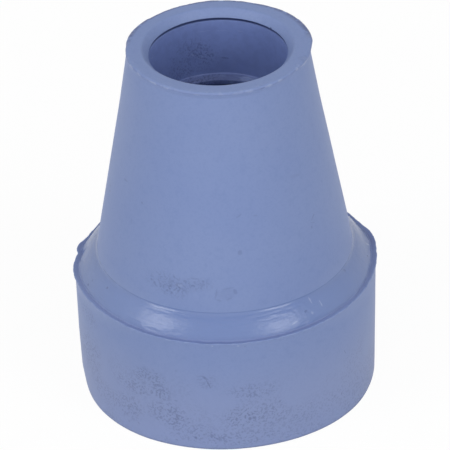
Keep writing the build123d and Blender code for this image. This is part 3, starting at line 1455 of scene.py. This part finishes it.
@dataclass(frozen=True)
class Studio:
    """Pale floor, soft light and the camera.

    Args:
        floor_colour: colour of the floor.
        floor_width: width of the floor.
        floor_glow: share of its white that the floor keeps in the shadow, where it is only seen.
        sky_low: brightness of the room at the horizon.
        sky_high: brightness of the room overhead.
        boxes: the soft lamps.
        floor_drop: how far the floor lies under the sole.
        camera_place: where the camera stands.
        camera_down: how far it looks down, in degrees.
        camera_roll: how far it is turned about its own view, in degrees.
        lens: its focal length.
        sensor: width of its sensor.
        clip_near: nearest distance that it sees.
        clip_far: furthest distance that it sees.
    """

    floor_colour: str = "F6F6F6"
    floor_width: float = 8000.0
    floor_glow: float = 0.95
    sky_low: float = 0.03
    sky_high: float = 0.4
    boxes: tuple[SoftBox, ...] = (
        SoftBox("left_box", -60.0, 37.0, 11.0, 5.2),
        SoftBox("right_box", 47.0, 37.0, 11.0, 4.5),
        SoftBox("front_fill", 0.0, 25.0, 38.0, 0.83),
        SoftBox("left_fill", -105.0, 25.0, 28.0, 0.25),
        SoftBox("right_fill", 105.0, 25.0, 28.0, 0.24),
    )
    floor_drop: float = 0.02
    camera_place: tuple[float, float, float] = (0.13, -527.36, 362.15)
    camera_down: float = 32.688
    camera_roll: float = -1.982
    lens: float = 360.0
    sensor: float = 36.0
    clip_near: float = 10.0
    clip_far: float = 20000.0

    def camera(self) -> bpy.types.Object:
        """Builds the camera at the photograph's place, and makes it the scene's.

        Returns:
            The camera's object.
        """
        data = bpy.data.cameras.new("camera")
        data.lens, data.sensor_width = self.lens, self.sensor
        data.clip_start, data.clip_end = self.clip_near * MM, self.clip_far * MM
        camera = bpy.data.objects.new("camera", data)
        tilt = Matrix.Rotation(math.radians(90 - self.camera_down), 4, "X")
        roll = Matrix.Rotation(math.radians(self.camera_roll), 4, "Z")
        place = Matrix.Translation(Vector(self.camera_place) * MM)
        camera.matrix_world = place @ tilt @ roll
        bpy.context.scene.collection.objects.link(camera)
        bpy.context.scene.camera = camera
        return camera

    def seen_white(self, tree: bpy.types.NodeTree) -> bpy.types.Node:
        """Adds the mask of the rays that see the backdrop white: those of eye, gloss and glass.

        Args:
            tree: tree that gets the nodes.

        Returns:
            Node that gives 1 for such a ray, and 0 for one that only carries light.
        """
        rays = add_node(tree, "ShaderNodeLightPath").outputs
        feeds = {0: rays["Is Camera Ray"], 1: rays["Is Glossy Ray"]}
        eye = add_node(tree, "ShaderNodeMath", feeds, operation="MAXIMUM")
        feeds = {0: eye, 1: rays["Is Transmission Ray"]}
        return add_node(tree, "ShaderNodeMath", feeds, operation="MAXIMUM")

    def floor_material(self) -> bpy.types.Material:
        """Makes the seamless paper: matt white, and as good as white to the camera.

        Returns:
            The paper's material.
        """
        material = bpy.data.materials.new("matt_white_backdrop_paper")
        material.use_nodes = True
        tree = material.node_tree
        tree.nodes.clear()
        feeds = {"Color": linear(self.floor_colour), "Roughness": 1.0}
        paper = add_node(tree, "ShaderNodeBsdfDiffuse", feeds)
        white = add_node(tree, "ShaderNodeEmission", {"Color": (1, 1, 1, 1), "Strength": 1.0})
        feeds = {0: self.seen_white(tree), 1: self.floor_glow}
        glow = add_node(tree, "ShaderNodeMath", feeds, operation="MULTIPLY")
        mixed = add_node(tree, "ShaderNodeMixShader", {0: glow, 1: paper, 2: white})
        add_node(tree, "ShaderNodeOutputMaterial", {"Surface": mixed})
        return material

    def floor(self) -> bpy.types.Object:
        """Builds the floor just under the sole, as part of the stage.

        Returns:
            The floor's object.
        """
        mesh = bpy.data.meshes.new("studio_floor")
        half = self.floor_width / 2 * MM
        around = ((-half, -half), (half, -half), (half, half), (-half, half))
        places = [(x, y, -self.floor_drop * MM) for x, y in around]
        mesh.from_pydata(places, [], [(0, 1, 2, 3)])
        mesh.materials.append(self.floor_material())
        floor = bpy.data.objects.new("studio_floor", mesh)
        bpy.context.scene.collection.objects.link(floor)
        floor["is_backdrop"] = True
        return floor

    def sky(self) -> bpy.types.World:
        """Builds the room's soft light, brighter overhead than at the horizon.

        Returns:
            The world.
        """
        world = bpy.data.worlds.new("soft_room")
        world.use_nodes = True
        tree = world.node_tree
        tree.nodes.clear()
        way = add_node(tree, "ShaderNodeTexCoord").outputs["Generated"]
        height = add_node(tree, "ShaderNodeSeparateXYZ", {"Vector": way}).outputs["Z"]
        feeds = {"Value": height, "To Min": self.sky_low, "To Max": self.sky_high}
        level = add_node(tree, "ShaderNodeMapRange", feeds)
        feeds = {"Color": (1, 1, 1, 1), "Strength": level}
        room = add_node(tree, "ShaderNodeBackground", feeds)
        white = add_node(tree, "ShaderNodeBackground", {"Color": (1, 1, 1, 1), "Strength": 1.0})
        feeds = {0: self.seen_white(tree), 1: room, 2: white}
        mixed = add_node(tree, "ShaderNodeMixShader", feeds)
        add_node(tree, "ShaderNodeOutputWorld", {"Surface": mixed})
        bpy.context.scene.world = world
        return world

    def build(self, target: Vector) -> None:
        """Builds the whole studio.

        Args:
            target: what the lamps face, in metres.
        """
        self.camera()
        self.floor()
        self.sky()
        for box in self.boxes:
            box.build(target)
        bpy.context.scene.view_settings.view_transform = "Standard"


def report(piece: bpy.types.Object) -> None:
    """Logs a piece's size and whether its mesh is closed with its faces outward.

    Args:
        piece: finished piece.
    """
    shape = bmesh.new()
    shape.from_mesh(piece.data)
    open_edges = sum(not edge.is_manifold for edge in shape.edges)
    volume = shape.calc_volume(signed=True) / MM**3
    triangles = sum(len(face.verts) - 2 for face in shape.faces)
    shape.free()
    LOG.info(
        "%s: %d triangles, %d open edges, %.0f cubic mm", piece.name, triangles, open_edges, volume
    )


def main() -> None:
    """Builds the tip and its studio around the frame."""
    logging.basicConfig(level=logging.INFO, format="%(name)s %(message)s")
    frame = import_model()
    cad_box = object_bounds()
    report(CaneTip.from_frame(frame).build())
    Studio().build(sum(cad_box, Vector()) / 2)


if __name__ == "__main__":
    main()
